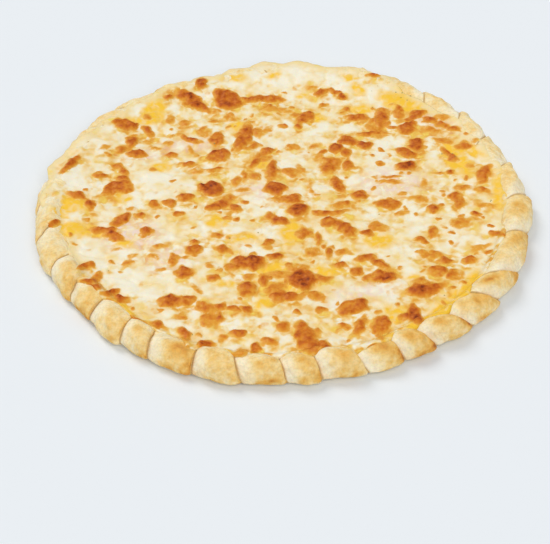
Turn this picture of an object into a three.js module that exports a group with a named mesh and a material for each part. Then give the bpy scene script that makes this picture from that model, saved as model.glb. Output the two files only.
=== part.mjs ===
// A round, flat cheese pizza, baked whole: one piece of dough with a rope-crimped rim, and the sheet of
// melted cheese that fills it and climbs the rim at the back. Millimetres, +Z up, resting on z = 0.

import * as THREE from "three";

// Driving dimensions of the crust
const RIM_RADIUS = 151; // outer edge of the rim
const RIM_WIDTH = 20; // from the outer edge in to the foot of the inner wall
const RIM_HEIGHT = 14; // crest of a fold
const BULGE_HEIGHT = 4.6; // where the rim's outer side reaches furthest out
const TOE = 7; // how far the outer side curls in under the bulge
const FLOOR_HEIGHT = 5; // dough under the cheese

// Driving dimensions of the folds pressed into the rim
const GROOVE_DEPTH = 3.8; // groove below the crest
const GROOVE_BITE = 2.8; // groove into the outer side
const GROOVE_SPREAD = 0.3; // the shallowest groove is this share shallower
const SWELL_POWER = 3.4; // how fast a fold swells from the groove it starts in
const LAP_POWER = 18; // how steeply it drops where it laps over the next one
const ARCH_POWER = 2.9; // a fold's inner end is round at 2, and boxy above
const ARCH_END_TURN = 0.6; // the section's turn where the arch begins to give way to the lap
const LAP_START_TURN = 1.35; // and where it has
const FOLD_LEAN_DEG = 6; // how far a groove turns back from the outer side to the foot
const FOLD_LEAN_SPREAD_DEG = 1.4; // grooves turn back more or less by this
const FOLD_HEIGHT_SPREAD = 1.1; // folds are higher or lower than one another by this
const FOLD_REACH_SPREAD = 1; // folds stand out more or less by this
const NOTCHED_SIDE_DEG = 245; // where the grooves also notch the wall towards the cheese
const NOTCHED_SHARE = 0.8; // full notches where this share of a direction faces that side, none square to it
const NOTCH_FROM_TURN = 0.25; // the section's turn where a groove begins there
const SMOOTH_FROM_TURN = 0.75; // and where one begins on the other side of the pizza
const GROOVE_FADE_TURN = 0.6; // and how much further on it has its full depth
const FOLD_ENDS_DEG = [
  3, 15.9, 27.5, 39.7, 51.9, 64.4, 76.5, 88, 98, 107, 116, 126, 138.7, 149.4, 158.4, 170.6, 181.5, 191.9,
  202.8, 212.8, 220.6, 231.2, 238.8, 249.4, 260.3, 270, 277.5, 287.5, 296.2, 304.4, 314.7, 325.3, 335.3, 349.4,
];

// Where the folds were laid over at another slant, their grooves turn back by more or less
const SLANTED_SIDES = [
  { deg: 35, spreadDeg: 30, moreDeg: 3.5 },
  { deg: 232, spreadDeg: 30, moreDeg: -4.3 },
  { deg: 285, spreadDeg: 32, moreDeg: -2.6 },
  { deg: 332, spreadDeg: 20, moreDeg: 4.5 },
];

// Where the cheese ran over the rim its grooves are shallower, by this share
const SMOOTHED_SIDES = [
  { deg: 172, spreadDeg: 27, share: 0.8 },
  { deg: 112, spreadDeg: 30, share: 0.55 },
  { deg: 45, spreadDeg: 34, share: 0.35 },
  { deg: 6, spreadDeg: 22, share: 0.5 },
];

// The pizza isn't quite round: each swell moves the outline out or in about one direction
const OUTLINE_SWELLS = [
  { deg: 22, out: -2.4, spreadDeg: 14 },
  { deg: 60, out: 1.2, spreadDeg: 15 },
  { deg: 112, out: -6.4, spreadDeg: 18 },
  { deg: 160, out: -2.6, spreadDeg: 12 },
  { deg: 192, out: 1, spreadDeg: 8 },
  { deg: 217, out: -3.2, spreadDeg: 14 },
  { deg: 279, out: -2.6, spreadDeg: 9 },
  { deg: 301, out: -2.6, spreadDeg: 7 },
];

// Driving dimensions of the cheese
const CHEESE_LEVEL = 9.2; // top of the cheese, away from blisters
const CHEESE_WAVE = 0.5; // low waves in the cheese
const CHEESE_FILM = 1.1; // cheese on the rim's inner wall
const CHEESE_LIP = 0.7; // thickness at the cheese's edge
const CHEESE_GAP = 0.35; // clearance between cheese and dough
const BANK_FRONT = 0.5; // how much higher the cheese lies along the rim, in front
const BANK_BACK = 4.2; // and at the back
const BANK_START_RADIUS = 104; // where it begins to rise
const BANK_END_RADIUS = 138;
const BANK_TURN_DEG = 10; // the left side is a little more banked than the right one
const EDGE_CLIMB_FRONT = 0.36; // how far up the inner wall the cheese ends, 0 at the foot and 1 at the crest
const EDGE_CLIMB_BACK = 0.9;
const EDGE_CLIMB_SIDE = 0.5;

// Browned blisters that stand up from the cheese: centre, half length, half width, turn and height
const BLISTERS = [
  { x: -61, y: 108, long: 14, wide: 7, turnDeg: -52, high: 1.9 },
  { x: -35, y: 108, long: 13, wide: 8, turnDeg: -60, high: 2.2 },
  { x: -14, y: 108, long: 15, wide: 5, turnDeg: 0, high: 1.4 },
  { x: 16, y: 85, long: 9, wide: 6, turnDeg: 65, high: 1.8 },
  { x: 48, y: 86, long: 9, wide: 6, turnDeg: -10, high: 1.6 },
  { x: 66, y: 80, long: 8, wide: 6, turnDeg: 60, high: 1.3 },
  { x: 83, y: 73, long: 9, wide: 6, turnDeg: 30, high: 1.6 },
  { x: 87, y: 56, long: 7, wide: 6, turnDeg: 90, high: 1.7 },
  { x: 43, y: 57, long: 15, wide: 7, turnDeg: 0, high: 2.2 },
  { x: -24, y: 66, long: 14, wide: 6, turnDeg: 80, high: 1.4 },
  { x: -40, y: 46, long: 10, wide: 8, turnDeg: 60, high: 1.4 },
  { x: -4, y: 44, long: 16, wide: 12, turnDeg: 20, high: 1.8 },
  { x: -3, y: 13, long: 10, wide: 7, turnDeg: -15, high: 2.2 },
  { x: -44, y: 12, long: 11, wide: 8, turnDeg: -20, high: 2 },
  { x: 10, y: -8, long: 8, wide: 6, turnDeg: -20, high: 2 },
  { x: 33, y: -23, long: 12, wide: 7, turnDeg: -40, high: 1.6 },
  { x: 72, y: 12, long: 14, wide: 12, turnDeg: 0, high: 2 },
  { x: -20, y: -56, long: 12, wide: 7, turnDeg: 15, high: 2.2 },
  { x: 10, y: -74, long: 13, wide: 8, turnDeg: -40, high: 2.2 },
  { x: 57, y: -69, long: 11, wide: 6, turnDeg: -10, high: 2 },
  { x: 83, y: -82, long: 14, wide: 6, turnDeg: 20, high: 1.9 },
  { x: 38, y: -95, long: 10, wide: 7, turnDeg: 40, high: 1.7 },
  { x: -62, y: -88, long: 12, wide: 5, turnDeg: -10, high: 1.4 },
  { x: -103, y: 15, long: 10, wide: 7, turnDeg: 30, high: 1.8 },
  { x: -101, y: 81, long: 8, wide: 6, turnDeg: -45, high: 1.8 },
  { x: 12, y: -118, long: 12, wide: 6, turnDeg: -70, high: 1.5 },
];

// How finely the surfaces are divided
const COLUMNS_PER_FOLD = 8;
const FOLD_STEPS = [0, 0.06, 0.17, 0.34, 0.55, 0.75, 0.89, 0.965]; // along one fold, closer at its grooves
const RIM_TURNS = [1, 1.35, 1.7, 2, 2.5, 3]; // 1 crest, 2 bulge, 3 where the toe meets the table
const FLOOR_RING_RADIUS = 112;
const BASE_TIP = new THREE.Vector3(30, 12, 0); // where the base's facets meet, so the middle lies inside one
const UNEVEN_TURN = 2.4; // radians from one fold to the next in the waves that make them uneven
const CHEESE_RINGS = [
  { radius: 119, share: 2 },
  { radius: 105, share: 2 },
  { radius: 91, share: 2 },
  { radius: 77, share: 4 },
  { radius: 63, share: 4 },
  { radius: 49, share: 4 },
  { radius: 35, share: 8 },
  { radius: 20, share: 8 },
]; // share: one point for so many columns

// How a fold differs from the others, from -1 to 1, with one phase for each of its traits
function uneven(fold, phase) {
  return Math.sin(fold * UNEVEN_TURN + phase);
}

function turnBetween(a, b) {
  return THREE.MathUtils.euclideanModulo(b - a, 360);
}

// 1 in one direction, fading to 0 on both sides of it
function bell(deg, middleDeg, spreadDeg) {
  const away = turnBetween(middleDeg - 180, deg) - 180;
  return Math.exp(-((away / spreadDeg) ** 2));
}

// The groove before a fold: how far it turns back, and how deep it is
function grooveBefore(fold) {
  const i = fold % FOLD_ENDS_DEG.length;
  const deg = FOLD_ENDS_DEG[i];
  return {
    leanDeg: SLANTED_SIDES.reduce(
      (leanDeg, side) => leanDeg + side.moreDeg * bell(deg, side.deg, side.spreadDeg),
      FOLD_LEAN_DEG + FOLD_LEAN_SPREAD_DEG * uneven(i, 0),
    ),
    depth: SMOOTHED_SIDES.reduce(
      (depth, side) => depth * (1 - side.share * bell(deg, side.deg, side.spreadDeg)),
      1 - GROOVE_SPREAD * (0.5 + 0.5 * uneven(i, 1)),
    ),
  };
}

// The section's turn where the grooves begin in one direction
function grooveStartTurn(deg) {
  const facing = Math.cos(THREE.MathUtils.degToRad(deg - NOTCHED_SIDE_DEG));
  const notched = THREE.MathUtils.smoothstep(facing, 0, NOTCHED_SHARE);
  return THREE.MathUtils.lerp(SMOOTH_FROM_TURN, NOTCH_FROM_TURN, notched);
}

// One entry for each column of points round the rim: its direction, its place along its fold, the depth and
// lean there between those of the fold's two grooves, and the fold's own height and reach
function rimColumns() {
  const columns = [];
  FOLD_ENDS_DEG.forEach((startDeg, i) => {
    const widthDeg = turnBetween(startDeg, FOLD_ENDS_DEG[(i + 1) % FOLD_ENDS_DEG.length]);
    const before = grooveBefore(i);
    const after = grooveBefore(i + 1);
    for (const step of FOLD_STEPS) {
      columns.push({
        deg: startDeg + widthDeg * step,
        step,
        leanDeg: THREE.MathUtils.lerp(before.leanDeg, after.leanDeg, step),
        depth: THREE.MathUtils.lerp(before.depth, after.depth, step),
        taller: FOLD_HEIGHT_SPREAD * uneven(i, 2),
        further: FOLD_REACH_SPREAD * uneven(i, 4),
      });
    }
  });
  return columns;
}

// How hollow a fold is at one step along it and one turn of the section: 1 in its grooves. It swells slowly
// from the groove it starts in and drops steeply where it laps over the next one, but ends in an arch
// towards the cheese.
function foldHollow(step, turn) {
  const lapping = 1 - (1 - (1 - step) ** SWELL_POWER) * (1 - step ** LAP_POWER);
  const arch = Math.abs(2 * step - 1) ** ARCH_POWER;
  const lapShare = THREE.MathUtils.smoothstep(turn, ARCH_END_TURN, LAP_START_TURN);
  return THREE.MathUtils.lerp(arch, lapping, lapShare);
}

function outlineRadius(deg) {
  return OUTLINE_SWELLS.reduce(
    (radius, swell) => radius + swell.out * bell(deg, swell.deg, swell.spreadDeg),
    RIM_RADIUS,
  );
}

// The rim's section at one turn: 0 foot of the inner wall, 1 crest, 2 bulge, 3 toe on the table
function rimSection(turn, outer) {
  const middle = outer - RIM_WIDTH / 2;
  if (turn <= 1) {
    const a = (turn * Math.PI) / 2;
    return [middle - (RIM_WIDTH / 2) * Math.cos(a), FLOOR_HEIGHT + (RIM_HEIGHT - FLOOR_HEIGHT) * Math.sin(a)];
  }
  if (turn <= 2) {
    const a = ((turn - 1) * Math.PI) / 2;
    return [middle + (RIM_WIDTH / 2) * Math.sin(a), BULGE_HEIGHT + (RIM_HEIGHT - BULGE_HEIGHT) * Math.cos(a)];
  }
  const a = ((turn - 2) * Math.PI) / 2;
  return [outer - TOE + TOE * Math.cos(a), BULGE_HEIGHT * (1 - Math.sin(a))];
}

// A point of the rim's surface, with its column's fold pressed in
function rimPoint(column, turn) {
  const leaning = column.leanDeg * Math.max(0, 1 - turn / 2);
  const deg = column.deg - leaning;
  const [radius, height] = rimSection(turn, outlineRadius(deg));
  const from = grooveStartTurn(column.deg);
  const overCrest = THREE.MathUtils.smoothstep(turn, from, from + GROOVE_FADE_TURN);
  const onTop = overCrest * (1 - THREE.MathUtils.smoothstep(turn, 1.5, 2.3));
  const onSide = THREE.MathUtils.smoothstep(turn, 0.6, 1.6) * (1 - 0.35 * THREE.MathUtils.smoothstep(turn, 2, 3));
  const hollow = foldHollow(column.step, turn);
  const lower = onTop * (GROOVE_DEPTH * column.depth * hollow - column.taller * (1 - hollow));
  const inward = onSide * (GROOVE_BITE * column.depth * hollow - column.further * (1 - hollow));
  return polar(radius - inward, deg, height - lower);
}

function polar(radius, deg, height) {
  const a = THREE.MathUtils.degToRad(deg);
  return new THREE.Vector3(radius * Math.cos(a), radius * Math.sin(a), height);
}

// How far up the inner wall the cheese ends in one direction: low in front, to the crest at the back
function cheeseClimb(deg) {
  const a = THREE.MathUtils.degToRad(deg);
  const back = Math.max(0, Math.sin(a)) ** 1.5;
  const side = Math.abs(Math.cos(a)) * (1 - back);
  const ripple = 0.05 * Math.sin(5 * a + 1) + 0.04 * Math.sin(11 * a);
  return (
    EDGE_CLIMB_FRONT +
    (EDGE_CLIMB_BACK - EDGE_CLIMB_FRONT) * back +
    (EDGE_CLIMB_SIDE - EDGE_CLIMB_FRONT) * side * 0.6 +
    ripple * (1 - back)
  );
}

// How much the cheese banks up towards the rim, more at the back than in front
function bankHeight(x, y) {
  const fromSide = Math.sin(Math.atan2(y, x) - THREE.MathUtils.degToRad(BANK_TURN_DEG));
  const most = THREE.MathUtils.lerp(BANK_FRONT, BANK_BACK, THREE.MathUtils.smoothstep(fromSide, -0.6, 0.6));
  return most * THREE.MathUtils.smoothstep(Math.hypot(x, y), BANK_START_RADIUS, BANK_END_RADIUS);
}

// Height of the cheese: level, with low waves, a bank along the rim and the raised blisters
function cheeseHeight(x, y) {
  const wave = Math.sin(x / 17 + 0.6) * Math.cos(y / 21 - 0.4) + 0.6 * Math.sin((x + y) / 11);
  return BLISTERS.reduce((height, blister) => {
    const turn = THREE.MathUtils.degToRad(blister.turnDeg);
    const dx = x - blister.x;
    const dy = y - blister.y;
    const along = (dx * Math.cos(turn) + dy * Math.sin(turn)) / blister.long;
    const across = (-dx * Math.sin(turn) + dy * Math.cos(turn)) / blister.wide;
    return height + blister.high * Math.exp(-(along ** 2) - across ** 2);
  }, CHEESE_LEVEL + CHEESE_WAVE * wave + bankHeight(x, y));
}

// A closed surface gathered from rings of points, each ring running anticlockwise seen from above
function newSurface() {
  return { points: [], faces: [] };
}

function addRing(surface, points) {
  const start = surface.points.length;
  surface.points.push(...points);
  return { start, count: points.length };
}

// Joins an outer ring to an inner one that has the same count or a whole share of it. The faces look up
// when lookUp is true, and down otherwise.
function joinRings(surface, outer, inner, lookUp) {
  const share = outer.count / inner.count;
  const add = (a, b, c) => surface.faces.push(lookUp ? [a, b, c] : [a, c, b]);
  const outerAt = (i) => outer.start + (i % outer.count);
  const innerAt = (i) => inner.start + (i % inner.count);
  for (let i = 0; i < inner.count; i++) {
    const turnOver = Math.ceil(share / 2);
    for (let k = 0; k < share; k++) {
      const apex = k < turnOver ? innerAt(i) : innerAt(i + 1);
      add(outerAt(i * share + k), outerAt(i * share + k + 1), apex);
    }
    add(innerAt(i), outerAt(i * share + turnOver), innerAt(i + 1));
  }
}

function closeWithPoint(surface, ring, point, lookUp) {
  const tip = addRing(surface, [point]).start;
  for (let i = 0; i < ring.count; i++) {
    const a = ring.start + i;
    const b = ring.start + ((i + 1) % ring.count);
    surface.faces.push(lookUp ? [a, b, tip] : [b, a, tip]);
  }
}

function toGeometry(surface) {
  const geometry = new THREE.BufferGeometry().setFromPoints(surface.points);
  geometry.setIndex(surface.faces.flat());
  geometry.computeVertexNormals();
  return geometry;
}

// Every so many columns of a ring, drawn in or out to one radius at one height
function evenRing(columns, radius, share, heightAt) {
  return columns
    .filter((_, i) => i % share === 0)
    .map((column) => {
      const point = polar(radius, column.deg - FOLD_LEAN_DEG, 0);
      return point.setZ(heightAt(point.x, point.y));
    });
}

// Turns of the rim's section that lie under the cheese, shared by the dough and the cheese upon it
function turnsUnderCheese(column) {
  const edge = cheeseClimb(column.deg);
  return [0, edge / 2, edge];
}

function doughGeometry(columns) {
  const dough = newSurface();
  const shared = [0, 1, 2].map((k) => addRing(dough, columns.map((c) => rimPoint(c, turnsUnderCheese(c)[k]))));
  const beside = addRing(dough, columns.map((c) => rimPoint(c, (turnsUnderCheese(c)[2] + 1) / 2)));
  const outside = RIM_TURNS.map((turn) => addRing(dough, columns.map((c) => rimPoint(c, turn))));
  const rings = [...shared, beside, ...outside];
  rings.slice(1).forEach((ring, i) => joinRings(dough, ring, rings[i], true));

  const floor = addRing(dough, evenRing(columns, FLOOR_RING_RADIUS, COLUMNS_PER_FOLD, () => FLOOR_HEIGHT));
  joinRings(dough, rings[0], floor, true);
  closeWithPoint(dough, floor, new THREE.Vector3(0, 0, FLOOR_HEIGHT), true);

  const base = addRing(dough, evenRing(columns, FLOOR_RING_RADIUS, COLUMNS_PER_FOLD, () => 0));
  joinRings(dough, rings[rings.length - 1], base, false);
  closeWithPoint(dough, base, BASE_TIP, false);
  return toGeometry(dough);
}

function cheeseGeometry(columns) {
  const cheese = newSurface();
  const lift = (point, by) => point.clone().setZ(point.z + by);
  const under = [0, 1, 2].map((k) =>
    addRing(cheese, columns.map((c) => lift(rimPoint(c, turnsUnderCheese(c)[k]), CHEESE_GAP))));
  const thickness = [CHEESE_FILM, CHEESE_FILM, CHEESE_LIP];
  const over = [0, 1, 2].map((k) =>
    addRing(cheese, columns.map((c) => {
      const wall = lift(rimPoint(c, turnsUnderCheese(c)[k]), CHEESE_GAP + thickness[k]);
      const level = k === 2 ? wall.z : cheeseHeight(wall.x, wall.y);
      return wall.setZ(Math.max(wall.z, level));
    })));

  joinRings(cheese, under[2], over[2], true);
  joinRings(cheese, over[2], over[1], true);
  joinRings(cheese, over[1], over[0], true);
  let last = over[0];
  for (const { radius, share } of CHEESE_RINGS) {
    const ring = addRing(cheese, evenRing(columns, radius, share, cheeseHeight));
    joinRings(cheese, last, ring, true);
    last = ring;
  }
  closeWithPoint(cheese, last, new THREE.Vector3(0, 0, cheeseHeight(0, 0)), true);

  joinRings(cheese, under[2], under[1], false);
  joinRings(cheese, under[1], under[0], false);
  const floorHeight = FLOOR_HEIGHT + CHEESE_GAP;
  const floor = addRing(cheese, evenRing(columns, FLOOR_RING_RADIUS, COLUMNS_PER_FOLD, () => floorHeight));
  joinRings(cheese, under[0], floor, false);
  closeWithPoint(cheese, floor, new THREE.Vector3(0, 0, floorHeight), false);
  return toGeometry(cheese);
}

// Baked wheat dough, pale with a golden blush
function bakedDough() {
  return new THREE.MeshStandardMaterial({ name: "baked_dough", color: 0xeccf94, roughness: 0.75, metalness: 0 });
}

// Melted mozzarella with a little yellow cheese
function meltedCheese() {
  return new THREE.MeshStandardMaterial({ name: "melted_cheese", color: 0xf3dfb4, roughness: 0.45, metalness: 0 });
}

const columns = rimColumns();

const crust = new THREE.Mesh(doughGeometry(columns), bakedDough());
crust.name = "crust";

const cheese = new THREE.Mesh(cheeseGeometry(columns), meltedCheese());
cheese.name = "cheese";

// The origin lies under the middle of the crust's box
const box = new THREE.Box3().setFromObject(crust);
const pizza = new THREE.Group();
pizza.add(crust, cheese);
pizza.position.set(-(box.min.x + box.max.x) / 2, -(box.min.y + box.max.y) / 2, 0);

export default pizza;
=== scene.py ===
# A whole cheese pizza with a rope-crimped rim: its finish, and a floor, lights and a camera.
# Settings are in millimetres and degrees, meshes in metres.
import math
import random
from functools import partial

import bpy
import numpy as np
from mathutils import Matrix, Vector
from mathutils.bvhtree import BVHTree


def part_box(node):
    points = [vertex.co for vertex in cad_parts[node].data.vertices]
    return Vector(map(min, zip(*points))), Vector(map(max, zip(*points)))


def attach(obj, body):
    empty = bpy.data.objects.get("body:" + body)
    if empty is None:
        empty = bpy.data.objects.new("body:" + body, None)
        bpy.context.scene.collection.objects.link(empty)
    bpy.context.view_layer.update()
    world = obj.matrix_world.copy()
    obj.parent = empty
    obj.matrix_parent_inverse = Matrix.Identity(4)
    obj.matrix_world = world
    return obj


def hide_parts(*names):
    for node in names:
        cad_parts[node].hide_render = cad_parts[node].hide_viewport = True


mm = 0.001
smooth = {"interpolation_type": "SMOOTHSTEP"}  # makes a MapRange node ease in and out

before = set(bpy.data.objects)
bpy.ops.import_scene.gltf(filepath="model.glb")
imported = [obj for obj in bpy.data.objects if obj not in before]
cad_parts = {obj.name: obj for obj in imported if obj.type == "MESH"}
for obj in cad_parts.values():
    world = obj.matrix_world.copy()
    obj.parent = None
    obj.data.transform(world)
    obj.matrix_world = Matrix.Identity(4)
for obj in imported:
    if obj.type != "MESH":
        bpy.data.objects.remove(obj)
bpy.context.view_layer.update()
print("frame loaded:", sorted(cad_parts))


# Adds a node and returns it. The values fill its sockets in order, and None leaves one as it is. A setting
# that is no property of the node fills the socket of that name, with _ for each space.
def addNode(tree, kind, *values, **settings):
    prefixes = ("ShaderNode", "GeometryNode", "FunctionNode", "")
    node = tree.nodes.new(next(p for p in prefixes if hasattr(bpy.types, p + kind)) + kind)
    named = {}
    for name, value in settings.items():
        if hasattr(node, name):
            setattr(node, name, value)
        else:
            named[name.replace("_", " ")] = value
    sockets = [socket for socket in node.inputs if socket.enabled]
    filled = list(zip(sockets, values))
    filled += [(next(s for s in sockets if s.name == name), value) for name, value in named.items()]
    for socket, value in filled:
        if isinstance(value, bpy.types.Node):
            value = next(output for output in value.outputs if output.enabled)
        if isinstance(value, bpy.types.NodeSocket):
            tree.links.new(value, socket)
        elif value is not None:
            socket.default_value = value
    return node


# sRGB hex to the linear colour that a socket holds
def linear(hexText):
    shares = [int(hexText[i:i + 2], 16) / 255 for i in (0, 2, 4)]
    return [s / 12.92 if s <= 0.04045 else ((s + 0.055) / 1.055) ** 2.4 for s in shares] + [1.0]


def fillRamp(node, stops):
    elements = node.color_ramp.elements
    while len(elements) < len(stops):
        elements.new(0.5)
    for element, (place, hexText) in zip(elements, stops):
        element.position = place
        element.color = linear(hexText)
    return node


# Scale of a noise node on Object coordinates, for a pattern of this size
def perMm(size):
    return 1 / (size * mm)


def newObject(name, mesh):
    thing = bpy.data.objects.new(name, mesh)
    bpy.context.scene.collection.objects.link(thing)
    return thing


# A material with its tree and shader. The surface's plain values are set on the shader's own sockets.
def newMaterial(name, surface):
    material = bpy.data.materials.new(name)
    material.use_nodes = True
    shader = material.node_tree.nodes["Principled BSDF"]
    for socketName, value in surface.items():
        shader.inputs[socketName].default_value = value
    return material, material.node_tree, shader


# A Geometry Nodes tree with an input for each setting
def newTree(name, settings):
    tree = bpy.data.node_groups.new(name, "GeometryNodeTree")
    tree.interface.new_socket("Geometry", in_out="INPUT", socket_type="NodeSocketGeometry")
    for label, value in settings.items():
        kind = "NodeSocketInt" if isinstance(value, int) else "NodeSocketFloat"
        tree.interface.new_socket(label, in_out="INPUT", socket_type=kind)
    tree.interface.new_socket("Geometry", in_out="OUTPUT", socket_type="NodeSocketGeometry")
    return tree


# 0 up to the peak over the first stretch of a value, and on down to a share of it over the second
def riseAndFall(add, value, rise, fall, left=0, peak=1):
    up = add("MapRange", value, *rise, 0, peak, **smooth)
    down = add("MapRange", value, *fall, 1, left, **smooth)
    return add("Math", up, down, operation="MULTIPLY")


# Runs a tree on a guide mesh and gives back what it makes as a plain mesh object
def makeWith(tree, name, guide, settings):
    worker = newObject(name + ".guide", guide)
    modifier = worker.modifiers.new(name, "NODES")
    modifier.node_group = tree
    for item in tree.interface.items_tree:
        if item.in_out == "INPUT" and item.name in settings:
            modifier[item.identifier] = settings[item.name]
    graph = bpy.context.evaluated_depsgraph_get()
    made = worker.evaluated_get(graph)
    mesh = bpy.data.meshes.new_from_object(made, preserve_all_data_layers=True, depsgraph=graph)
    worker.modifiers.remove(modifier)
    bpy.data.objects.remove(worker)
    mesh.name = name
    return newObject(name, mesh)


def pointsOf(mesh):
    flat = np.empty(len(mesh.vertices) * 3, np.float32)
    mesh.vertices.foreach_get("co", flat)
    return flat.reshape(-1, 3).astype(float)


def storeNumbers(mesh, name, numbers):
    layer = mesh.attributes.new(name, "FLOAT", "POINT")
    layer.data.foreach_set("value", np.asarray(numbers, np.float32))


# A repeatable number from 0 to 1 for each cell of a grid
def scatter(cellX, cellY, seed):
    return np.abs(np.sin(cellX * 127.1 + cellY * 311.7 + seed * 74.7) * 43758.5453) % 1


# Smooth noise in the plane, about -1 to 1, in waves of this length
def waves(x, y, length, seed):
    cellX = np.floor(x / length)
    cellY = np.floor(y / length)
    fx = x / length - cellX
    fy = y / length - cellY
    easeX = fx ** 3 * (fx * (6 * fx - 15) + 10)
    easeY = fy ** 3 * (fy * (6 * fy - 15) + 10)
    total = 0
    for stepX, shareX in ((0, 1 - easeX), (1, easeX)):
        for stepY, shareY in ((0, 1 - easeY), (1, easeY)):
            turn = 2 * math.pi * scatter(cellX + stepX, cellY + stepY, seed)
            slope = np.cos(turn) * (fx - stepX) + np.sin(turn) * (fy - stepY)
            total = total + 1.6 * slope * shareX * shareY
    return total


# Distance to the nearest and the next of a grid's scattered points, as shares of the grid's step
def nearestTwo(x, y, size, seed):
    cellX = np.floor(x / size)
    cellY = np.floor(y / size)
    nearest = np.full_like(cellX, 9.0)
    second = np.full_like(cellX, 9.0)
    for stepX in (-1, 0, 1):
        for stepY in (-1, 0, 1):
            atX = cellX + stepX + 0.15 + 0.7 * scatter(cellX + stepX, cellY + stepY, seed)
            atY = cellY + stepY + 0.15 + 0.7 * scatter(cellX + stepX, cellY + stepY, seed + 31)
            away = np.hypot(x / size - atX, y / size - atY)
            second = np.minimum(second, np.maximum(nearest, away))
            nearest = np.minimum(nearest, away)
    return nearest, second


# From 0 at the low value to 1 at the high one, with soft ends
def ease(low, high, value):
    share = np.clip((value - low) / (high - low), 0, 1)
    return share * share * (3 - 2 * share)


# Domes packed side by side: 1 at each top, 0 where they meet
def bubbles(x, y, size, seed):
    return np.clip(1 - (nearestTwo(x, y, size, seed)[0] / 0.75) ** 2, 0, 1)


# Lines where lumps of this size have run together: 1 on the line
def seams(x, y, size, width, seed):
    nearest, second = nearestTwo(x, y, size, seed)
    return 1 - ease(0, width / size, second - nearest)


# Places moved by waves, so that what is drawn there comes out uneven. A bend is (how far, length, seed).
def bend(x, y, bends):
    movedX = x
    movedY = y
    for far, length, seed in bends:
        movedX = movedX + far * waves(x, y, length, seed)
        movedY = movedY + far * waves(x, y, length, seed + 2)
    return movedX, movedY


# The greater of two heights, rounded where they meet
def softMax(a, b, rounding):
    share = np.clip(0.5 + 0.5 * (a - b) / rounding, 0, 1)
    return b * (1 - share) + a * share + rounding * share * (1 - share)


# The crust. One guide point stands for each fold of the rim, and the tree sweeps the rim's section round.
crust = {
    "Columns per fold": 36,
    "Rings per quarter": 16,
    "Rim radius": 151.0,
    "Rim width": 20.0,
    "Rim height": 14.0,
    "Bulge height": 4.6,
    "Toe": 7.0,
    "Floor height": 5.0,
    "Groove depth": 4.0,
    "Groove bite": 2.8,
    "Overlap": 1.5,  # how far a fold's end laps over the next fold
    "Crowding": -0.09,  # below 0 the columns crowd towards the grooves
    "Swell power": 3.4,  # a fold reaches its full height sooner the higher this is
    "Fall power": 18.0,  # and drops more steeply at its end the higher this is
    "Arch power": 2.9,  # a fold's inner end is round at 2, and boxy above
    "Lumps": 1.9,  # slow unevenness of the dough
    "Dimples": 0.6,  # quick unevenness of the dough
    "Steam lift": 0.7,  # depth of the hollows in the underside
}
foldRule = {
    "lean": 6.0,  # how far a groove turns back from the outer side to the foot
    "leanSpread": 1.4,
    "grooveSpread": 0.3,  # the shallowest groove is this share shallower
    "heightSpread": 1.1,
    "reachSpread": 1.0,
    "unevenTurn": 2.4,  # from one fold to the next in the waves that make them uneven
    "toastedSide": 278,
    "toastedPower": 0.55,  # the toasted stretch is wider the lower this is
    "notchedSide": 245,  # where the grooves also notch the wall towards the cheese
    "notchedShare": 0.8,  # full notches where this share of a direction faces that side, none square to it
    "seed": 11,
}
# where, spread, more lean
slantedSides = [(35, 30, 3.5), (232, 30, -4.3), (285, 32, -2.6), (332, 20, 4.5)]
# where, spread, share of a groove's depth that is lost
smoothedSides = [(172, 27, 0.8), (112, 30, 0.55), (45, 34, 0.35), (6, 22, 0.5)]
foldStarts = [  # the direction in which each fold starts
    3, 15.9, 27.5, 39.7, 51.9, 64.4, 76.5, 88, 98, 107, 116, 126,
    138.7, 149.4, 158.4, 170.6, 181.5, 191.9, 202.8, 212.8, 220.6, 231.2, 238.8, 249.4,
    260.3, 270, 277.5, 287.5, 296.2, 304.4, 314.7, 325.3, 335.3, 349.4,
]
outlineSwells = [  # where, how far out, spread
    (22, -2.4, 14), (60, 1.2, 15), (112, -6.4, 18), (160, -2.6, 12), (192, 1, 8), (217, -3.2, 14),
    (279, -2.6, 9), (301, -2.6, 7),
]


# 1 in one direction, fading to 0 on both sides of it
def bell(deg, middleDeg, spread):
    away = (deg - middleDeg + 180) % 360 - 180
    return np.exp(-(away / spread) ** 2)


def leanAt(deg):
    return foldRule["lean"] + sum(more * bell(deg, sideDeg, spread) for sideDeg, spread, more in slantedSides)


# One point for each fold, with what sets it apart from the others
def foldGuide():
    rule = foldRule
    draw = random.Random(rule["seed"])
    starts = np.array(foldStarts)
    turns = np.arange(len(starts)) * rule["unevenTurn"]
    leans = leanAt(starts) + rule["leanSpread"] * np.sin(turns)
    depths = 1 - rule["grooveSpread"] * (0.5 + 0.5 * np.sin(turns + 1))
    for sideDeg, spread, share in smoothedSides:
        depths = depths * (1 - share * bell(starts, sideDeg, spread))
    notched = ease(0, rule["notchedShare"], np.cos(np.radians(starts - rule["notchedSide"])))
    heat = np.clip(np.cos(np.radians(starts - rule["toastedSide"])), 0, 1) ** rule["toastedPower"]
    guide = bpy.data.meshes.new("folds")
    guide.from_pydata([(i, 0, 0) for i in range(len(starts))], [], [])
    traits = {
        "startDeg": starts,
        "widthDeg": (np.roll(starts, -1) - starts) % 360,
        "startLean": leans,
        "endLean": np.roll(leans, -1),
        "startDepth": depths,
        "endDepth": np.roll(depths, -1),
        "taller": rule["heightSpread"] * np.sin(turns + 2),
        "further": rule["reachSpread"] * np.sin(turns + 4),
        "notchFrom": 0.75 - 0.5 * notched,
        "tone": [share * (0.45 + 0.55 * draw.random()) for share in heat],
        "heat": heat,
        "drift": [draw.uniform(-1, 1) for _ in starts],
    }
    for name, numbers in traits.items():
        storeNumbers(guide, name, numbers)
    return guide


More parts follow.
